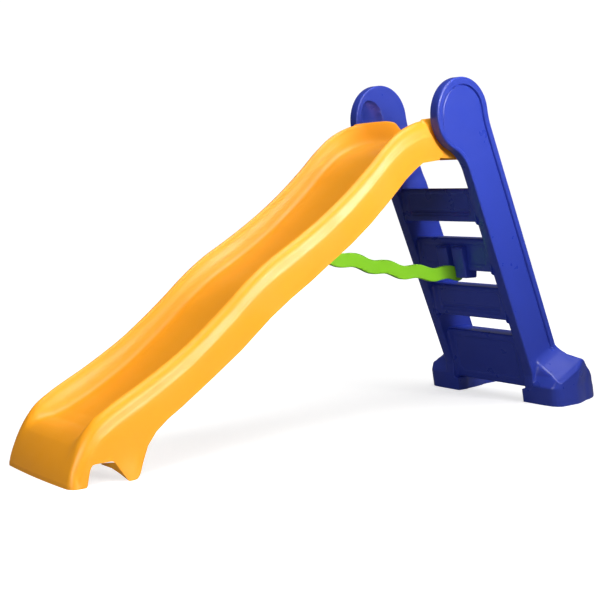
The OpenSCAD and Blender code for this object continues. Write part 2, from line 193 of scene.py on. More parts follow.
def thicken(obj, t=WALL):
    """Gives an open surface its wall, on the inside."""
    m = obj.modifiers.new("wall", "SOLIDIFY")
    m.thickness = t * MM
    m.offset = -1
    m.use_even_offset = False
    m.use_quality_normals = True
    return settle(obj, 40)


# ---------------------------------------------------------------- materials
def moulded(name, base, deep, worn, rough, coat, peel=1.0):
    """Glossy moulded plastic: uneven pigment, orange peel, fine scuffs and rubbed edges."""
    mat = bpy.data.materials.new(name)
    mat.use_nodes = True
    nt = mat.node_tree
    bsdf = nt.nodes["Principled BSDF"]
    bsdf.inputs["IOR"].default_value = 1.5
    bsdf.inputs["Coat Weight"].default_value = coat
    bsdf.inputs["Coat Roughness"].default_value = 0.09

    def add(kind, **values):
        node = nt.nodes.new(kind)
        for key, value in values.items():
            if hasattr(node, key):
                setattr(node, key, value)
            else:
                node.inputs[key.replace("_", " ")].default_value = value
        return node

    coord = add("ShaderNodeTexCoord").outputs["Object"]

    def noise(scale, detail=2.0, source=None):
        node = add("ShaderNodeTexNoise", Scale=scale, Detail=detail)
        nt.links.new(source or coord, node.inputs["Vector"])
        return node.outputs["Fac"]

    def remap(source, a, b, low, high):
        node = add("ShaderNodeMapRange")
        for key, value in zip(("From Min", "From Max", "To Min", "To Max"), (a, b, low, high)):
            node.inputs[key].default_value = value
        nt.links.new(source, node.inputs["Value"])
        return node.outputs["Result"]

    def mixed(factor, a, b):
        node = add("ShaderNodeMix", data_type="RGBA")
        nt.links.new(factor, node.inputs[0])
        for slot, value in ((6, a), (7, b)):
            if isinstance(value, tuple):
                node.inputs[slot].default_value = (*value, 1)
            else:
                nt.links.new(value, node.inputs[slot])
        return node.outputs[2]

    def maths(operation, a, b):
        node = add("ShaderNodeMath", operation=operation)
        for slot, value in ((0, a), (1, b)):
            if isinstance(value, float):
                node.inputs[slot].default_value = value
            else:
                nt.links.new(value, node.inputs[slot])
        return node.outputs[0]

    broad = remap(noise(3.3, 3.0), 0.35, 0.65, 0.0, 1.0)
    fleck = remap(noise(650.0, 1.0), 0.3, 0.7, 0.0, 0.18)
    colour = mixed(maths("MULTIPLY", broad, 0.55), base, deep)
    colour = mixed(fleck, colour, deep)
    edge = remap(add("ShaderNodeNewGeometry").outputs["Pointiness"], 0.53, 0.62, 0.0, 0.5)
    rubbed = remap(noise(38.0, 4.0), 0.42, 0.62, 0.0, 1.0)
    colour = mixed(maths("MULTIPLY", edge, rubbed), colour, worn)
    nt.links.new(colour, bsdf.inputs["Base Color"])

    scuffs = remap(noise(9.0, 2.0), 0.4, 0.75, 0.0, 0.06)
    cloudy = remap(noise(17.0, 4.0), 0.3, 0.7, rough - 0.05, rough + 0.06)
    nt.links.new(maths("ADD", cloudy, scuffs), bsdf.inputs["Roughness"])

    waves = add("ShaderNodeBump", Strength=0.10 * peel, Distance=0.0006)
    nt.links.new(noise(95.0, 2.0), waves.inputs["Height"])
    grain = add("ShaderNodeBump", Strength=0.12 * peel, Distance=0.00008)
    nt.links.new(noise(1400.0, 2.0), grain.inputs["Height"])
    nt.links.new(waves.outputs["Normal"], grain.inputs["Normal"])
    nt.links.new(grain.outputs["Normal"], bsdf.inputs["Normal"])
    return mat


def metal(name, base, rough):
    """Zinc-plated steel: cloudy plating, fine turning marks."""
    mat = bpy.data.materials.new(name)
    mat.use_nodes = True
    nt = mat.node_tree
    bsdf = nt.nodes["Principled BSDF"]
    bsdf.inputs["Metallic"].default_value = 1.0
    coord = nt.nodes.new("ShaderNodeTexCoord")
    cloud = nt.nodes.new("ShaderNodeTexNoise")
    cloud.inputs["Scale"].default_value = 160.0
    marks = nt.nodes.new("ShaderNodeTexNoise")
    marks.inputs["Scale"].default_value = 2600.0
    for node in (cloud, marks):
        nt.links.new(coord.outputs["Object"], node.inputs["Vector"])
    ramp = nt.nodes.new("ShaderNodeValToRGB")
    ramp.color_ramp.elements[0].color = (*[c * 0.78 for c in base], 1)
    ramp.color_ramp.elements[1].color = (*base, 1)
    nt.links.new(cloud.outputs["Fac"], ramp.inputs["Fac"])
    nt.links.new(ramp.outputs["Color"], bsdf.inputs["Base Color"])
    gloss = nt.nodes.new("ShaderNodeMapRange")
    gloss.inputs["To Min"].default_value = rough - 0.1
    gloss.inputs["To Max"].default_value = rough + 0.12
    nt.links.new(cloud.outputs["Fac"], gloss.inputs["Value"])
    nt.links.new(gloss.outputs["Result"], bsdf.inputs["Roughness"])
    bump = nt.nodes.new("ShaderNodeBump")
    bump.inputs["Strength"].default_value = 0.2
    bump.inputs["Distance"].default_value = 0.00005
    nt.links.new(marks.outputs["Fac"], bump.inputs["Height"])
    nt.links.new(bump.outputs["Normal"], bsdf.inputs["Normal"])
    return mat


YELLOW = moulded("chute_plastic", (1.0, 0.4, 0.012), (0.97, 0.36, 0.008), (1.0, 0.55, 0.08), 0.38, 0.04)
BLUE = moulded("ladder_plastic", (0.032, 0.062, 0.49), (0.027, 0.052, 0.43), (0.1, 0.15, 0.66), 0.3, 0.12)
GREEN = moulded("brace_plastic", (0.27, 0.68, 0.02), (0.22, 0.6, 0.014), (0.5, 0.86, 0.1), 0.34, 0.08)
NYLON = moulded("bush_nylon", (0.8, 0.8, 0.74), (0.7, 0.7, 0.63), (0.9, 0.9, 0.86), 0.48, 0.0, 1.6)
STEEL = metal("zinc_steel", (0.62, 0.63, 0.66), 0.34)

# ---------------------------------------------------------------- chute
# tables along the chute from the exit's front: heights of rim and hem, and the share of the bed's depth
RIM = [
    (0, 12), (7, 38), (19, 67), (32, 96), (47, 124), (67, 152), (93, 180), (131, 206), (177, 232),
    (251, 270), (322, 310), (395, 355), (469, 409), (546, 470), (624, 536), (704, 594), (786, 641),
    (870, 691), (957, 748), (1045, 814), (1136, 892), (1200, 952), (1277, 1009), (1374, 1047),
    (1474, 1064), (1577, 1066), (1621, 1032), (1672, 994),
]
BED = [
    (0, 0), (19, 0), (32, 0.08), (47, 0.18), (67, 0.35), (93, 0.58), (131, 0.84), (177, 0.96), (251, 1),
    (1577, 1), (1621, 0.58), (1672, 0.1),
]
HEM = [
    (0, 0), (41, 0), (45, 1.5), (48.5, 7), (53, 22), (59.5, 44), (64.5, 54), (72, 60.5), (80, 62),
    (134, 62.5), (141, 61), (147, 56), (182, 1.5), (187, 0), (200, 0), (209, 1.5), (217, 6.5),
    (224, 15), (229, 25), (235, 41), (254, 90), (282, 126), (323, 158), (370, 186), (476, 256),
    (587, 332), (702, 423), (782, 477), (863, 526), (947, 582), (1033, 637), (1121, 703), (1210, 781),
    (1283, 849), (1326, 881), (1374, 910), (1408, 924), (1447, 936),
]
BED_DROP = 80.0
DECK_HEM = 920.0
# where the side walls end in arcs round the ears, over which heights, and where the deck's rear roll starts
SHOULDER_U = 1360
SHOULDER_HEM = 936
SHOULDER_R = 152.0
ARC_LOW, ARC_TOP = 938, 1069
DECK_END_U = 1655
DECK_ROLL = 15.0
# half widths of the deck between the ears and of the trough, and the exit's corners seen from above
TONGUE_W = 183.0
GUTTER = 157.0
CORNER_R = 26.0
FRONT_BOW = 5
# the rear edge of the notch: its middle and half its length, then the start and length for its shares
NOTCH_MID, NOTCH_REACH = 164, 19
NOTCH_U, NOTCH_LEN = 144, 39
# the edge's inner line, as distance and height by the share of its length, and how far inwards it is
RETURN_U = [(0, 116), (0.5, 149), (1, 181)]
RETURN_Z = [(0, 52), (0.5, 36), (1, 8)]
RETURN_DEEP, RETURN_TAPER = 38, 18
# the second foot's spread at the floor
FOOT_SPREAD = 10


def rim_z(u):
    """Height of the rim's crest."""
    return table(RIM, u)


def bed_z(u):
    """Height of the sliding bed."""
    return rim_z(u) - BED_DROP * straight(BED, u)


def bow(y):
    """How far the exit's front falls back from its middle to its corners."""
    over = max(abs(y) - (HALF_W - CORNER_R), 0.0)
    return FRONT_BOW * (y / 160) ** 2 + CORNER_R - math.sqrt(max(CORNER_R**2 - over * over, 0.0))


def chaikin(points, times):
    """Rounds an open line by cutting its corners, and keeps its ends."""
    for _ in range(times):
        cut = [points[0]]
        for (a, b), (c, d) in zip(points, points[1:]):
            cut += [(a * 0.75 + c * 0.25, b * 0.75 + d * 0.25), (a * 0.25 + c * 0.75, b * 0.25 + d * 0.75)]
        points = cut + [points[-1]]
    return points


def chute_section(u, w, hem):
    """The whole section from one hem over both rims to the other hem, as (y, z)."""
    z = rim_z(u)
    d = z - bed_z(u)
    q = (w - GUTTER) / 46
    side = min(65.0, z - hem - 2)
    k = 1 if w > TONGUE_W + 1 else 0
    half = [
        (w, hem), (w, z - side * 0.92), (w - 3.5 * k, z - side * 0.78), (w - 5 * k, z - side * 0.66),
        (w - 8 * k, z - min(side * 0.43, 28)), (w - 18 * q, z - 10 * min(1, d / 20 + 0.3)),
        (w - 32 * q, z - 1), (GUTTER + 8 * q, z - d * 0.05 - 1), (GUTTER - 1, z - d * 0.26),
        (GUTTER - 10, z - d * 0.6), (GUTTER - 24, z - d * 0.92), (GUTTER - 45, z - d), (0, z - d),
    ]
    half = chaikin(half, 2)
    return half + [(-y, z) for y, z in reversed(half[:-1])]


def arc_x(z):
    """Where the side walls end, on an arc round the ear's middle."""
    ear_z = HINGE[1] + EAR_RISE
    return HINGE[0] - math.sqrt(SHOULDER_R**2 - (min(max(z, ARC_LOW), ARC_TOP) - ear_z) ** 2)


def placed(u, section):
    """A section's points at u, bowed near the exit's front."""
    fade = max(1 - u / 110, 0) ** 2
    return [(-HALF_LEN + u + bow(y) * fade, y, z) for y, z in section]


def chute_rows():
    """The chute's sections from the exit's front to the deck's back edge."""
    rows = []
    first = placed(0, chute_section(0, HALF_W, 0))
    for f in (0.0, 0.35, 0.7):
        rows.append([(x, y, z * f) for x, y, z in first])
    near = [0, 1, 2.5, 4.5, 7, 10, 14, 18, 23, 28, 34, 40, 43, 46, 48, 50, 51.8, 53.5, 55, 57, 59, 61.5, 63.5]
    stations = near + [65.5, 68.5, 72, 76, 80] + spread(87, 134, 7) + [137.5, 141, 144, 147, 152]
    stations += [158, 164, 170, 176, 182, 184.5, 187] + spread(193, 205, 2)
    stations += [209, 213, 217, 220.5, 224, 226.5, 229, 232, 235, 240, 247, 254]
    stations += spread(262, SHOULDER_U, 110)
    for u in stations:
        rows.append(placed(u, chute_section(u, HALF_W, straight(HEM, u))))

    def shoulder(u, w, hem, back, blend):
        made = []
        for y, z in chute_section(u, w, hem):
            k = ease((abs(y) - 150) / 20) * blend
            made.append(((-HALF_LEN + u) * (1 - k) + (arc_x(z) - back) * k, y, z))
        return made

    for f in (0.25, 0.5, 0.75):
        u = SHOULDER_U + 25 * f
        rows.append(shoulder(u, HALF_W, straight(HEM, u), 4, f))
    for u, inset, back in ((1388, 0.0, 3.0), (1390, 0.4, 1.4), (1392, 1.4, 0.4), (1394, 3.0, 0.0)):
        rows.append(shoulder(u, HALF_W - inset, SHOULDER_HEM, back, 1.0))
    rows.append(shoulder(1402, TONGUE_W, DECK_HEM + 4, 0.0, 1.0))
    for u in [1430, 1460, 1490, 1520] + spread(1540, DECK_END_U, 26):
        rows.append(placed(u, chute_section(u, TONGUE_W, DECK_HEM)))
    # the deck's back edge rolls over and falls to the hem
    last = chute_section(DECK_END_U, TONGUE_W, DECK_HEM)
    for a in spread(0, 90, 7)[1:]:
        t, drop = DECK_ROLL * math.sin(math.radians(a)), DECK_ROLL * (1 - math.cos(math.radians(a)))
        row = [(y * (1 - drop * 0.4 / TONGUE_W), max(z - drop, DECK_HEM)) for y, z in last]
        rows.append([(-HALF_LEN + DECK_END_U + 2 + t, y, z) for y, z in row])
    end = rows[-1]
    for f in (0.3, 0.65, 1.0):
        rows.append([(x, y, z + (DECK_HEM - z) * f) for x, y, z in end])
    return rows


def flared(x, y, z):
    """The second foot spreads a little towards the floor."""
    u = x + HALF_LEN
    out = ease((u - 140) / 45) * ease((250 - u) / 45) * ease((64 - z) / 64) * ease((abs(y) - 170) / 20)
    return (x, y + math.copysign(FOOT_SPREAD * out, y), z)


def make_chute():
    rows = [[flared(*p) for p in r] for r in chute_rows()]
    cols = len(rows[0])
    verts = [p for r in rows for p in r]
    faces = grid_faces(len(rows), cols)
    # the notch's rear edge turns inwards
    for edge, sign in ((0, 1), (cols - 1, -1)):
        last = None
        for i, row in enumerate(rows):
            x, y = row[edge][:2]
            if abs(x + HALF_LEN - NOTCH_MID) > NOTCH_REACH or y * sign < 100:
                continue
            f = (x + HALF_LEN - NOTCH_U) / NOTCH_LEN
            deep_u, deep_z = straight(RETURN_U, f), straight(RETURN_Z, f)
            verts.append((deep_u - HALF_LEN, y - sign * (RETURN_DEEP - RETURN_TAPER * f), deep_z))
            if last is not None:
                a, b = last
                quad = (a, i * cols + edge, len(verts) - 1, b)
                faces.append(quad if sign > 0 else quad[::-1])
            last = (i * cols + edge, len(verts) - 1)
    piece = new_piece("chute_moulding", verts, faces, YELLOW, 40, (0, 0, bed_z(HALF_LEN)))
    thicken(piece)
    for v in piece.data.vertices:
        v.co.z = max(v.co.z, 0.0)
    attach(piece, "chute")
    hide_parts("slide_chute")


make_chute()


# ---------------------------------------------------------------- flat mouldings with shaped faces
def plate(name, front, back, insets, inner, outer_y, inner_y, material, closed=False):
    """A moulding between two faces. front and back are paired outline points from one end to the rounded
    other, as (x, z). outer_y and inner_y give each face's place across from (x, z, distance to the edge)."""
    n = len(front)

    def normals(line, other):
        made = []
        for k in range(n):
            a = line[max(k - 1, 0)]
            b = line[k + 1] if k + 1 < n else other[k - 1]
            t = Vector((b[0] - a[0], b[1] - a[1])).normalized()
            made.append(t)
        return made

    tf, tb = normals(front, back), normals(back, front)
    verts_out, verts_in = [], []
    for k in range(n):
        nf = Vector((tf[k].y, -tf[k].x))
        nb = Vector((-tb[k].y, tb[k].x))
        if k == 0 and not closed:
            nf, nb = Vector((1, 0)), Vector((-1, 0))
        f = [(front[k][0] + nf.x * d, front[k][1] + nf.y * d, d) for d in insets]
        b = [(back[k][0] + nb.x * d, back[k][1] + nb.y * d, d) for d in insets]
        middle = []
        for i in range(1, inner + 1):
            t = i / (inner + 1)
            middle.append((f[-1][0] * (1 - t) + b[-1][0] * t, f[-1][1] * (1 - t) + b[-1][1] * t, 999.0))
        row = f + middle + b[::-1]
        verts_out += [(x, outer_y(x, z, d), z) for x, z, d in row]
        verts_in += [(x, inner_y(x, z, d), z) for x, z, d in row]
    cols = 2 * len(insets) + inner
    off = n * cols
    faces = grid_faces(n, cols)
    faces += [tuple(off + i for i in reversed(f)) for f in grid_faces(n, cols)]
    for k in range(n - 1):
        for j in (0, cols - 1):
            a, b = k * cols + j, (k + 1) * cols + j
            faces.append((a, b, b + off, a + off))
    for j in range(cols - 1):
        faces.append((j, j + 1, j + 1 + off, j + off))
    return new_piece(name, verts_out + verts_in, faces, material, 40)


def prism(bm, outline, y0, y1, bevel):
    """Adds an extruded side outline with rounded edges to bm."""
    part = bmesh.new()
    a = [part.verts.new((x * MM, y0 * MM, z * MM)) for x, z in outline]
    b = [part.verts.new((x * MM, y1 * MM, z * MM)) for x, z in outline]
    n = len(outline)
    part.faces.new(a)
    part.faces.new(b[::-1])
    for i in range(n):
        part.faces.new((a[i], b[i], b[(i + 1) % n], a[(i + 1) % n]))
    bmesh.ops.recalc_face_normals(part, faces=part.faces[:])
    if bevel:
        bmesh.ops.bevel(
            part, geom=part.edges[:], offset=bevel * MM, segments=4, profile=0.5,
            affect="EDGES", clamp_overlap=True,
        )
    mesh = bpy.data.meshes.new("part")
    part.to_mesh(mesh)
    part.free()
    bm.from_mesh(mesh)
    bpy.data.meshes.remove(mesh)


# ---------------------------------------------------------------- side rails
FOOT_V = 150
NECK_V = 940
# from the sole up, the outlines of a foot's heel and toe, paired point for point
HEEL = [
    (HALF_LEN, 0), (HALF_LEN - 12, 20), (HALF_LEN - 30, 40), (HALF_LEN - 53, 60), (HALF_LEN - 90, 92),
    (HALF_LEN - 126, 123), (HALF_LEN - 152, 143), (HALF_LEN - 172, 160), (HALF_LEN - 196, 170),
    (HALF_LEN - 219, 184), along(RAIL_D, FOOT_V),
]
TOE = [
    (FOOT_X, 0), (FOOT_X - 2, 10), (FOOT_X - 4.5, 22), (FOOT_X - 6.8, 33), (FOOT_X - 9, 44),
    (FOOT_X - 11.3, 54.5), along(-15, 80), along(-9, 98), along(-3, 114), along(0, 128), along(0, FOOT_V),
]
# the toe's front by height, the foot's outer face by place along the ladder, and by distance behind the toe
TOE_FACE = [(0, FOOT_X), (68, FOOT_X - 14), (110, FOOT_X - 2), (240, FOOT_X)]
FLARE = [(84, 330), (101, 316), (116, 288), (130, 262), (142, 244), (156, RAIL_Y)]
PLAN = [
    (0, 292), (6, 306), (14, 318), (26, 327), (44, 330), (120, 330), (145, 325), (175, 315), (215, 301),
    (240, 296), (280, 281), (318, 258), (352, 232),
]
# the foot's inner face by distance behind the toe
SOLE_IN = [
    (0, 165), (47, 165), (63, 171), (121, 179), (152, 186), (197, 200), (275, 206), (352, 208),
]
# the raised border at the front and at the rear, how far the face inside it is sunk, and its groove
BORDER = 15.0
REAR_BORDER = 26.0
PANEL = 3.0
GROOVE = 4.5
EDGE_R = 6.0
# the hand grip's middle, depth and half axes
GRIP_U, GRIP_V, GRIP_DEPTH = 6.0, EAR_V + 26, 26.0
GRIP_HALF_U, GRIP_HALF_V = 48, 68
# the foot's three hollows and where the leg's face starts, along the ladder
CREASE_LOW, CREASE_TOP, CREASE_PITCH = 101, 146, 15
CREASE_DEPTH = 3.0
LEG_V = 156


def rail_outline():
    """Paired front and back points of a rail's side outline, from the sole to the top of the ear."""
    front, back = [], []
    for a, b, heel_a, heel_b in zip(TOE, TOE[1:], HEEL, HEEL[1:]):
        for f in (0.0, 0.2, 0.4, 0.6, 0.8):
            front.append((a[0] + (b[0] - a[0]) * f, a[1] + (b[1] - a[1]) * f))
            back.append((heel_a[0] + (heel_b[0] - heel_a[0]) * f, heel_a[1] + (heel_b[1] - heel_a[1]) * f))
    for v in spread(FOOT_V, NECK_V, 66):
        front.append(along(0, v))
        back.append(along(RAIL_D, v))
    # radii of the fillets between neck and ear, at the front and at the back
    fr, br = 150.0, 250.0
    front_v = EAR_V - math.sqrt((EAR_R + fr) ** 2 - (EAR_U + fr) ** 2)
    back_v = EAR_V - math.sqrt((EAR_R + br) ** 2 - (RAIL_D - EAR_U + br) ** 2)
    front_a = math.degrees(math.atan2(EAR_V - front_v, EAR_U + fr))
    back_a = math.degrees(math.atan2(EAR_V - back_v, EAR_U - RAIL_D - br))
    neck_f = [(0, v) for v in spread(NECK_V, front_v, 4)[1:]]
    neck_f += [
        (-fr + fr * math.cos(math.radians(a)), front_v + fr * math.sin(math.radians(a)))
        for a in spread(0, front_a, 14)[1:]
    ]
    neck_b = [(RAIL_D, v) for v in spread(NECK_V, back_v, 10)[1:]]
    neck_b += [
        (RAIL_D + br + br * math.cos(math.radians(a)), back_v + br * math.sin(math.radians(a)))
        for a in spread(180, back_a, 8)[1:]
    ]
    front += [along(*p) for p in neck_f]
    back += [along(*p) for p in neck_b]
    start_f, start_b = 180 + front_a, back_a - 180
    top = (start_f + start_b) / 2
    for f in spread(0, 1, 42)[1:]:
        for line, start in ((front, start_f), (back, start_b)):
            a = math.radians(start + (top - start) * f)
            line.append(along(EAR_U + EAR_R * math.cos(a), EAR_V + EAR_R * math.sin(a)))
    return front, back


def rail_outer(x, z, d):
    """Place across of a rail's outer face, d from its outline."""
    v = ladder_v(x, z)
    y = RAIL_Y
    if v > LEG_V:
        u = ladder_u(x, z)
        rear = max(ease((u - 30) / 60), ease((v - EAR_V + 40) / 80))
        edge = BORDER + (REAR_BORDER - BORDER) * rear
        start = ease((v - LEG_V) / 26)
        y -= PANEL * ease((d - edge + 1.5) / 3) * start
        # a groove just inside the raised border
        y -= GROOVE * max(1 - abs(d - edge - 1.8) / 3.0, 0.0) * start * rear
    else:
        toe = straight(TOE_FACE, z)
        wing = min(straight(FLARE, v), table(PLAN, x - toe))
        if CREASE_LOW < v < CREASE_TOP:
            # three shallow hollows between the shoulder's creases
            wing -= CREASE_DEPTH * abs(math.sin(math.pi * (v - CREASE_LOW) / CREASE_PITCH))
        y += max(wing - y, 0) * ease((x - toe + 3) / (6 + 12 * ease((z - 68) / 40)))
    return y - rounding(d, EDGE_R)


def rail_inner(x, z, d):
    """Place across of a rail's inner face, d from its outline."""
    v = ladder_v(x, z)
    sole = straight(SOLE_IN, x - FOOT_X)
    foot = sole + (max(sole, RAIL_IN) - sole) * ease((z - 50) / 8)
    leg = RAIL_IN + (EAR_IN - RAIL_IN) * ease((v - 850) / 45)
    y = foot + (leg - foot) * ease((v - FOOT_V) / 40) + rounding(d, 4.0)
    # hand grip scooped out of the ear
    reach = ((ladder_u(x, z) - GRIP_U) / GRIP_HALF_U) ** 2 + ((v - GRIP_V) / GRIP_HALF_V) ** 2
    return y + GRIP_DEPTH * math.sqrt(max(1 - reach, 0.0)) ** 0.9


def make_rail(side, sign):
    front, back = rail_outline()
    # points across each edge, close together at the edge's rounding and at both borders
    insets = [0, 0.7, 1.8, 3.6, 6, 9, 12.5, 13.6, 15, 16.4, 18, 20.5, 23]
    insets += [24.5, 25.5, 26.5, 27.6, 28.8, 30, 33]
    piece = plate(
        "ladder_rail_" + side, front, back, insets, 22,
        lambda x, z, d: sign * rail_outer(x, z, d),
        lambda x, z, d: sign * rail_inner(x, z, d),
        BLUE,
    )
    for v in piece.data.vertices:
        v.co.z = max(v.co.z, 0.0)
    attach(piece, "ladder")
    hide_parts("side_rail_" + side)


make_rail("left", 1)
make_rail("right", -1)

# ---------------------------------------------------------------- steps
STEP_END = RAIL_IN - 0.2
TREAD_D = 128.0
FACE_H = 122.0
FACE_RUN = 24.0
STEP_4_LOW = 58.0
NOSE_R, FACE_TOE_R, TREAD_R = 9.0, 7.0, 6
FACE_END_R = 11.0
PANEL_HALF, BAND_HALF = 156, 148


def step_profile(h, run):
    """A step's side line from below the tread's back edge, over the nose, down the face and under it."""
    lean = math.atan2(run, h)
    line = [(TREAD_D, -z) for z in (24, 18, 12, 7)]
    line += [
        (TREAD_D - TREAD_R + TREAD_R * math.cos(a), -TREAD_R + TREAD_R * math.sin(a))
        for a in spread(0, math.pi / 2, 5)
    ]
    line += [(x, 0) for x in spread(TREAD_D - 12, 14, 16)]
    a0, a1 = math.pi / 2, math.pi + lean
    cx, cz = NOSE_R * (1 + math.tan(lean)) * 0.95, -NOSE_R
    line += [(cx + NOSE_R * math.cos(a), cz + NOSE_R * math.sin(a)) for a in spread(a0, a1, 8)]
    top = line[-1]
    toe = FACE_TOE_R
    cx, cz = run + toe + 1, -h + toe
    low = (cx + toe * math.cos(a1), cz + toe * math.sin(a1))
    rows = max(int(h / 3), 10)
    line += [
        (top[0] + (low[0] - top[0]) * i / rows, top[1] + (low[1] - top[1]) * i / rows)
        for i in range(1, rows)
    ]
    line += [(cx + toe * math.cos(a), cz + toe * math.sin(a)) for a in spread(a1, 1.5 * math.pi, 6)]
    line += [(cx + t, -h) for t in (8, 18, 30)]
    return line


def rounded_box(y, z, half_y, z0, z1, r):
    """Signed distance inside a rounded rectangle, positive inside."""
    qy = abs(y) - half_y + r
    qz = abs(z - (z0 + z1) / 2) - (z1 - z0) / 2 + r
    outside = math.hypot(max(qy, 0), max(qz, 0)) + min(max(qy, qz), 0)
    return r - outside


def step_relief(i, y, z, h):
    """How far the face is sunk at a place, for each step's own panel."""
    if i == 4:
        return 2.5 * ease(rounded_box(y, z, PANEL_HALF, -h + 26, -24, 26) / 6)
    if i == 2:
        return 2.5 * ease(rounded_box(y, z, PANEL_HALF, -h + 20, -20, 18) / 6)
    sunk = 4.0 * ease(rounded_box(y, z, PANEL_HALF, -h + 18, -17, 20) / 5)
    band = 4.0 * ease(rounded_box(y, z, BAND_HALF, -h + 30, -h + 44, 6) / 3)
    return sunk + band


def make_step(i):
    low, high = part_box("step_%d" % i)
    x0, z0 = low.x / MM, high.z / MM
    h = FACE_H if i < 4 else z0 - STEP_4_LOW
    run = FACE_RUN if i < 4 else FRONT_X - STEP_4_LOW * math.tan(LEAN) - x0
    line = step_profile(h, run)
    ends = [0, 0.6, 1.6, 3, 5, 7.5, 10.5, 14, 18, 22]
    cols = [-STEP_END + e for e in ends] + spread(-STEP_END + 26, STEP_END - 26, 92)
    cols += [STEP_END - e for e in reversed(ends)]
    verts = []
    for k, (x, z) in enumerate(line):
        a, b = line[max(k - 1, 0)], line[min(k + 1, len(line) - 1)]
        t = Vector((b[0] - a[0], b[1] - a[1])).normalized()
        out = Vector((t.y, -t.x))
        facing = ease((-z - 8) / 14) if x < TREAD_D - 40 else 0.0
        for y in cols:
            e = STEP_END - abs(y)
            push = (rounding(e, FACE_END_R) - step_relief(i, y, z, h)) * facing
            verts.append((x0 + x + out.x * push, y, z0 + z + out.y * push))
    piece = new_piece(
        "ladder_step_%d" % i, verts, grid_faces(len(line), len(cols)), BLUE, 40,
        (x0 + TREAD_D / 2, 0, z0),
    )
    thicken(piece)
    # plates that close the ends and take the screws
    bm = bmesh.new()
    bm.from_mesh(piece.data)
    plate_line = [(x0 + 7, z0 - 7), (x0 + TREAD_D - 3, z0 - 5), (x0 + TREAD_D - 3, z0 - 24)]
    plate_line += [(x0 + run + 38, z0 - h + 3), (x0 + run + 9, z0 - h + 3)]
    for sign in (1, -1):
        prism(bm, plate_line, sign * (STEP_END - WALL), sign * STEP_END, 0)
    bm.to_mesh(piece.data)
    bm.free()
    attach(piece, "ladder")
    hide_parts("step_%d" % i)


for number in (1, 2, 3, 4):
    make_step(number)


# ---------------------------------------------------------------- bracket
def make_bracket():
    """Two bosses with a slot for the brace between them, on a plate."""
    low, high = (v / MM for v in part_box("brace_bracket"))
    slot = 12.0
    plate_t = 4
    half = high.y
    outline = [
        (low.x + 30, low.z), (low.x + 28, low.z + 20), (low.x, high.z - 10), (low.x + 8, high.z),
        (high.x, high.z), (high.x, low.z),
    ]
    bm = bmesh.new()
    for s in (1, -1):
        prism(bm, outline, s * slot, s * half, 6.0)
    base = [(high.x - plate_t, low.z), (high.x - plate_t, high.z), (high.x, high.z), (high.x, low.z)]
    prism(bm, base, -slot - 6, slot + 6, 0)
    mesh = bpy.data.meshes.new("bracket_bosses")
    bm.to_mesh(mesh)
    bm.free()
    mesh.polygons.foreach_set("use_smooth", [True] * len(mesh.polygons))
    mesh.set_sharp_from_angle(angle=math.radians(40))
    mesh.materials.append(BLUE)
    piece = bpy.data.objects.new("bracket_bosses", mesh)
    bpy.context.scene.collection.objects.link(piece)
    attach(piece, "ladder")
    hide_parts("brace_bracket")


make_bracket()

# ---------------------------------------------------------------- wavy brace
# the board, its waves, how far it sags between the pins, and its pin hole and hook
BRACE_H, BRACE_T = 50.0, 20.0
WAVE_H, WAVE_LEN, WAVE_START = 5.5, 156.5, 59.5
SAG, SAG_LOW = 14.0, 7.0
PIN_R, HOOK_R = 5.05, 5.6
HOOK_ANGLE = 60.0
HOOK_REACH = 60


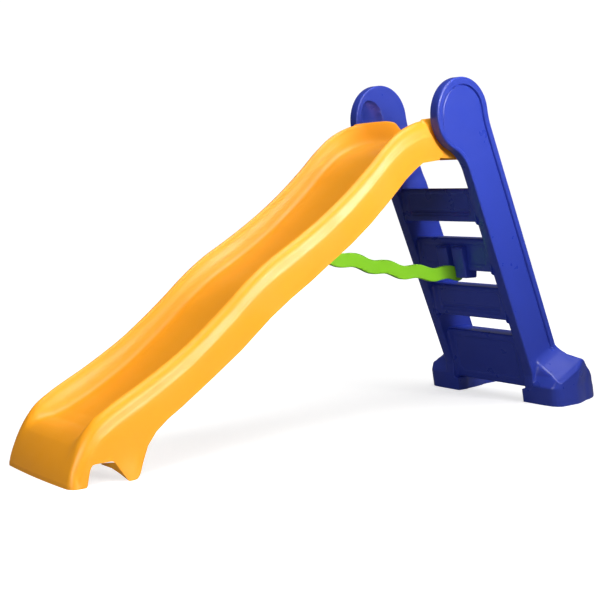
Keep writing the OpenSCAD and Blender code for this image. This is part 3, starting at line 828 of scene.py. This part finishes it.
def make_brace():
    reach = Vector((CATCH[0] - BRACE_PIN[0], CATCH[1] - BRACE_PIN[1]))
    length = reach.length
    ax = reach.normalized()
    ay = Vector((-ax.y, ax.x))
    if ay.y < 0:
        ay = -ay
    half = BRACE_H / 2

    def at(s, t):
        p = Vector(BRACE_PIN) + ax * s + ay * t
        return (p.x, p.y)

    def wave(s):
        f = min(max(s / length, 0.0), 1.0)
        hang = SAG * math.sin(math.pi * f) + SAG_LOW * math.sin(2 * math.pi * f)
        return WAVE_H * math.cos(2 * math.pi * (s - WAVE_START) / WAVE_LEN) - hang

    top, low = [], []
    for a in spread(2, 90, 14):
        r = math.radians(a)
        top.append(at(length + half * math.cos(r), wave(length) + half * math.sin(r)))
        low.append(at(length + half * math.cos(r), wave(length) - half * math.sin(r)))
    for s in spread(length, 0, 150)[1:-1]:
        top.append(at(s, wave(s) + half))
        low.append(at(s, wave(s) - half))
    for a in spread(90, 0, 14):
        r = math.radians(a)
        top.append(at(-half * math.cos(r), wave(0) + half * math.sin(r)))
        low.append(at(-half * math.cos(r), wave(0) - half * math.sin(r)))
    piece = plate(
        "wavy_brace", top, low, [0, 0.4, 1.1, 2.2, 3.6, 6], 4,
        lambda x, z, d: -BRACE_T / 2 + rounding(d, 3.6),
        lambda x, z, d: BRACE_T / 2 - rounding(d, 3.6),
        GREEN, closed=True,
    )
    # pin hole and hook notch
    bm = bmesh.new()
    ring = [at(PIN_R * math.cos(a), PIN_R * math.sin(a)) for a in spread(0, 2 * math.pi, 32)[:-1]]
    prism(bm, ring, -30, 30, 0)
    out = math.radians(-(180 - HOOK_ANGLE))
    notch = []
    for a in spread(out + math.pi / 2, out + 1.5 * math.pi, 16):
        notch.append(at(length + HOOK_R * math.cos(a), HOOK_R * math.sin(a)))
    for side in (-1, 1):
        s = HOOK_REACH * math.cos(out) + side * HOOK_R * math.sin(out)
        t = HOOK_REACH * math.sin(out) - side * HOOK_R * math.cos(out)
        notch.append(at(length + s, t))
    prism(bm, notch, -30, 30, 0)
    mesh = bpy.data.meshes.new("cutter")
    bm.to_mesh(mesh)
    bm.free()
    cutter = bpy.data.objects.new("cutter", mesh)
    bpy.context.scene.collection.objects.link(cutter)
    m = piece.modifiers.new("holes", "BOOLEAN")
    m.operation = "DIFFERENCE"
    m.object = cutter
    m.solver = "EXACT"
    m.use_self = True
    settle(piece, 35)
    bpy.data.objects.remove(cutter)
    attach(piece, "brace")
    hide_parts("support_brace")


make_brace()

# ---------------------------------------------------------------- hardware kept from the frame
KEPT = {
    "hinge_block_left": (YELLOW, "chute_yellow"),
    "hinge_block_right": (YELLOW, "chute_yellow"),
    "brace_catch": (YELLOW, "chute_yellow"),
    "hinge_bush_left": (NYLON, "bush_nylon"),
    "hinge_bush_right": (NYLON, "bush_nylon"),
    "catch_pin": (STEEL, "steel"),
    "catch_screws": (STEEL, "steel"),
    "hinge_pin_left": (STEEL, "steel"),
    "hinge_pin_right": (STEEL, "steel"),
    "step_screws": (STEEL, "steel"),
    "brace_pin": (STEEL, "steel"),
    "brace_pin_clips": (STEEL, "steel"),
}
for node, (material, slot_name) in KEPT.items():
    kept = frame["nodes"][node]
    kept.data.materials.clear()
    kept.data.materials.append(material)
    bevel = kept.modifiers.new("edges", "BEVEL")
    bevel.width = 0.4 * MM
    bevel.segments = 2
    bevel.limit_method = "ANGLE"
    bevel.angle_limit = math.radians(50)

# ---------------------------------------------------------------- floor, light and camera
bpy.context.scene.view_settings.view_transform = "Standard"
bpy.context.scene.view_settings.look = "None"


def make_floor():
    """A plain floor, pale to the camera and darker to other rays, so that little light comes off it."""
    size = 30.0
    mesh = bpy.data.meshes.new("floor")
    corners = [(-size, -size, 0), (size, -size, 0), (size, size, 0), (-size, size, 0)]
    mesh.from_pydata(corners, [], [(0, 1, 2, 3)])
    obj = bpy.data.objects.new("floor", mesh)
    bpy.context.scene.collection.objects.link(obj)
    mat = bpy.data.materials.new("pale_floor")
    mat.use_nodes = True
    nt = mat.node_tree
    bsdf = nt.nodes["Principled BSDF"]
    bsdf.inputs["Roughness"].default_value = 0.7
    coord = nt.nodes.new("ShaderNodeTexCoord")
    reach = nt.nodes.new("ShaderNodeVectorMath")
    reach.operation = "LENGTH"
    nt.links.new(coord.outputs["Object"], reach.inputs[0])
    glow = nt.nodes.new("ShaderNodeMapRange")
    for key, value in zip(("From Min", "From Max", "To Min", "To Max"), (0.6, 3.0, 0.62, 1.0)):
        glow.inputs[key].default_value = value
    nt.links.new(reach.outputs["Value"], glow.inputs["Value"])
    seen = nt.nodes.new("ShaderNodeLightPath")
    tone = nt.nodes.new("ShaderNodeMix")
    tone.data_type = "RGBA"
    tone.inputs[6].default_value = (0.16, 0.16, 0.16, 1)
    tone.inputs[7].default_value = (0.6, 0.6, 0.6, 1)
    nt.links.new(seen.outputs["Is Camera Ray"], tone.inputs[0])
    nt.links.new(tone.outputs[2], bsdf.inputs["Base Color"])
    strength = nt.nodes.new("ShaderNodeMath")
    strength.operation = "MULTIPLY_ADD"
    strength.inputs[2].default_value = 0.02
    nt.links.new(glow.outputs["Result"], strength.inputs[0])
    nt.links.new(seen.outputs["Is Camera Ray"], strength.inputs[1])
    bsdf.inputs["Emission Color"].default_value = (1, 1, 1, 1)
    nt.links.new(strength.outputs[0], bsdf.inputs["Emission Strength"])
    mesh.materials.append(mat)


make_floor()

# the world looks white to the camera and lights the scene only a little
world = bpy.data.worlds.new("studio")
bpy.context.scene.world = world
world.use_nodes = True
nt = world.node_tree
sky = nt.nodes["Background"]
sky.inputs["Color"].default_value = (0.96, 0.97, 1.0, 1)
sky.inputs["Strength"].default_value = 0.1
white = nt.nodes.new("ShaderNodeBackground")
white.inputs["Color"].default_value = (1, 1, 1, 1)
white.inputs["Strength"].default_value = 1.05
path = nt.nodes.new("ShaderNodeLightPath")
both = nt.nodes.new("ShaderNodeMixShader")
nt.links.new(path.outputs["Is Camera Ray"], both.inputs[0])
nt.links.new(sky.outputs[0], both.inputs[1])
nt.links.new(white.outputs[0], both.inputs[2])
nt.links.new(both.outputs[0], nt.nodes["World Output"].inputs["Surface"])


def softbox(name, place, aim, width, height, watts, beam=180):
    """A soft rectangular light. place and aim are in metres, beam is its spread in degrees."""
    data = bpy.data.lights.new(name, "AREA")
    data.shape = "RECTANGLE"
    data.size, data.size_y = width, height
    data.energy = watts
    data.color = (1.0, 0.99, 0.98)
    data.spread = math.radians(beam)
    obj = bpy.data.objects.new(name, data)
    bpy.context.scene.collection.objects.link(obj)
    obj.location = place
    obj.rotation_mode = "QUATERNION"
    obj.rotation_quaternion = (Vector(aim) - Vector(place)).to_track_quat("-Z", "Y")


softbox("ladder_key", (0.55, -1.9, 1.75), (0.35, -0.2, 1.15), 1.0, 0.8, 10, 100)
softbox("chute_key", (0.4, -3.7, 1.7), (-0.9, -0.2, 0.4), 2.4, 1.4, 12, 44)
softbox("overhead", (-0.2, -0.9, 5.3), (-0.3, 0.0, 0.4), 4.0, 3.0, 185)
softbox("front", (-3.2, -1.4, 1.0), (-1.0, 0.0, 0.3), 1.2, 1.0, 5, 70)

CAMERA_AT = (-2.541, -2.902, 0.806)
YAW, PITCH, ROLL = math.radians(39.26), math.radians(5.52), math.radians(0.343)
camera = bpy.data.cameras.new("camera")
camera.sensor_width = 36.0
camera.lens = 67.11
camera.clip_end = 100
eye = bpy.data.objects.new("camera", camera)
bpy.context.scene.collection.objects.link(eye)
eye.location = CAMERA_AT
look = Vector((math.sin(YAW) * math.cos(PITCH), math.cos(YAW) * math.cos(PITCH), -math.sin(PITCH)))
eye.rotation_mode = "QUATERNION"
eye.rotation_quaternion = Quaternion(look, ROLL) @ look.to_track_quat("-Z", "Y")
bpy.context.scene.camera = eye
